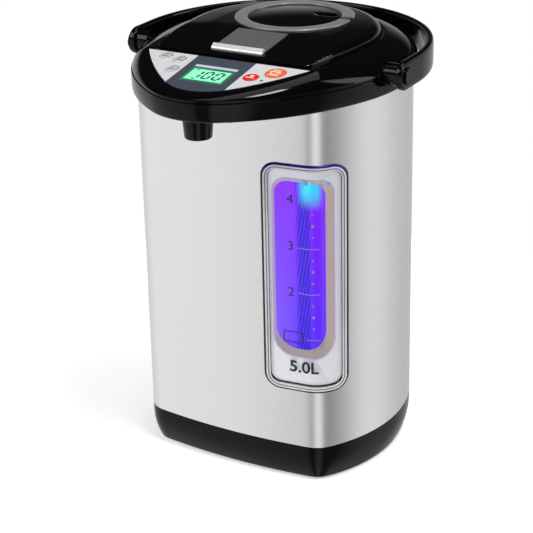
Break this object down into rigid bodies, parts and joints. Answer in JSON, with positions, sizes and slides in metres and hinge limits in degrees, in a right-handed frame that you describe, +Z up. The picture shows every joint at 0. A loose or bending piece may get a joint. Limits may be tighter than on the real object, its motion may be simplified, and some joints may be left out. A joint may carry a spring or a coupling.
{
  "type": "electric thermo pot",
  "caption": "Electric thermo pot with a flat-fronted steel body, a black beaked head over a nozzle, a hinged lid, push keys, a lit corner level window and a lift-up handle.",
  "frame": {"origin": "on the body's vertical axis, at table level, under the feet", "axes": "+Z up; the beak, nozzle and control panel face -Y; +X is the side with the level window's corner"},
  "size_m": [0.242, 0.265, 0.3436],
  "materials": {
    "body_steel": "fine horizontal brushing",
    "black_gloss": "high gloss",
    "base_black": "gloss",
    "cover_black": "matte",
    "foot_rubber": "matte",
    "bright_steel": "satin",
    "window_frame": "clear gloss",
    "window_clear": "clear",
    "gauge_lit": "lit from behind",
    "tube_clear": "clear",
    "silicone": "satin",
    "circuit_board": "satin",
    "lamp": "clear",
    "inner_plastic": "satin",
    "inner_steel": "satin",
    "panel_silver": "satin",
    "display_green": "lit",
    "display_dark": "satin",
    "key_silver": "satin",
    "key_red": "gloss",
    "key_orange": "gloss",
    "dark_plastic": "matte",
    "aluminium": "cast",
    "brass": "turned",
    "motor_steel": "plain",
    "hose": "translucent",
    "trim_grey": "satin metallic",
    "lever_silver": "satin metallic"
  },
  "bodies": {
    "pot": {"outer_shell": "body_steel", "base_housing": "base_black", "bottom_cover": "cover_black", "feet": "foot_rubber", "bottom_screws": "bright_steel", "window_frame": "window_frame", "window_pane": "window_clear", "gauge_plate": "gauge_lit", "level_tube": "tube_clear", "tube_seals": "silicone", "led_boards": "circuit_board", "leds": "lamp", "collar": "black_gloss", "top_cover": "black_gloss", "neck_ring": "inner_plastic", "vessel": "inner_steel", "vessel_gasket": "silicone", "head_screws": "bright_steel", "control_panel": "panel_silver", "display_lens": "display_green", "display_module": "display_dark", "control_board": "circuit_board", "nozzle": "black_gloss", "outlet_pipe": "hose", "riser_hose": "hose", "suction_hose": "hose", "pump_housing": "dark_plastic", "pump_motor": "motor_steel", "heater": "aluminium", "thermostats": "brass", "power_board": "circuit_board", "power_inlet": "cover_black", "inlet_pins": "brass", "lid_pin": "bright_steel", "handle_pivots": "black_gloss"},
    "lid": {"lid_shell": "black_gloss", "lid_liner": "inner_plastic", "lid_plate": "inner_steel", "lid_gasket": "silicone", "lid_trim": "trim_grey", "vent_cap": "black_gloss", "steam_tube": "inner_plastic", "latch_pin": "bright_steel", "latch_spring": "bright_steel"},
    "lever": {"latch_lever": "lever_silver"},
    "hook": {"latch_hook": "dark_plastic"},
    "timer_key": {"key_timer": "key_silver"},
    "boil_key": {"key_boil": "key_silver"},
    "temperature_key": {"key_temperature": "key_silver"},
    "unlock_key": {"key_unlock": "key_red"},
    "dispense_key": {"key_dispense": "key_orange"},
    "carry_handle": {"handle": "black_gloss"},
    "pump_impeller": {"impeller": "inner_plastic"}
  },
  "joints": [
    {"name": "lid_hinge", "type": "hinge", "parent": "pot", "child": "lid", "pos_m": [0, 0.09, 0.326], "axis": [-1, 0, 0], "range_deg": [0, 85]},
    {"name": "latch_pivot", "type": "hinge", "parent": "lid", "child": "lever", "pos_m": [0, -0.026, 0.33919], "axis": [-1, 0, 0], "range_deg": [0, 20], "stiffness_Nm_per_rad": 0.05},
    {"name": "hook_slide", "type": "slide", "parent": "lid", "child": "hook", "axis": [0, 1, 0], "range_m": [0, 0.003]},
    {"name": "handle_pivot", "type": "hinge", "parent": "pot", "child": "carry_handle", "pos_m": [0, -0.022, 0.321], "axis": [1, 0, 0], "range_deg": [0, 100]},
    {"name": "impeller_spin", "type": "hinge", "parent": "pot", "child": "pump_impeller", "pos_m": [-0.02, -0.02, 0.043], "axis": [0, 0, 1], "continuous": true},
    {"name": "timer_press", "type": "slide", "parent": "pot", "child": "timer_key", "axis": [0, 0.1564, -0.9877], "range_m": [0, 0.001], "stiffness_N_per_m": 250},
    {"name": "boil_press", "type": "slide", "parent": "pot", "child": "boil_key", "axis": [0, 0.1564, -0.9877], "range_m": [0, 0.001], "stiffness_N_per_m": 250},
    {"name": "temperature_press", "type": "slide", "parent": "pot", "child": "temperature_key", "axis": [0, 0.1564, -0.9877], "range_m": [0, 0.001], "stiffness_N_per_m": 250},
    {"name": "unlock_press", "type": "slide", "parent": "pot", "child": "unlock_key", "axis": [0, 0.1564, -0.9877], "range_m": [0, 0.001], "stiffness_N_per_m": 250},
    {"name": "dispense_press", "type": "slide", "parent": "pot", "child": "dispense_key", "axis": [0, 0.1564, -0.9877], "range_m": [0, 0.001], "stiffness_N_per_m": 250}
  ],
  "couplings": [
    {"joint": "hook_slide", "follows": "latch_pivot", "m_per_rad": 0.008594}
  ]
}
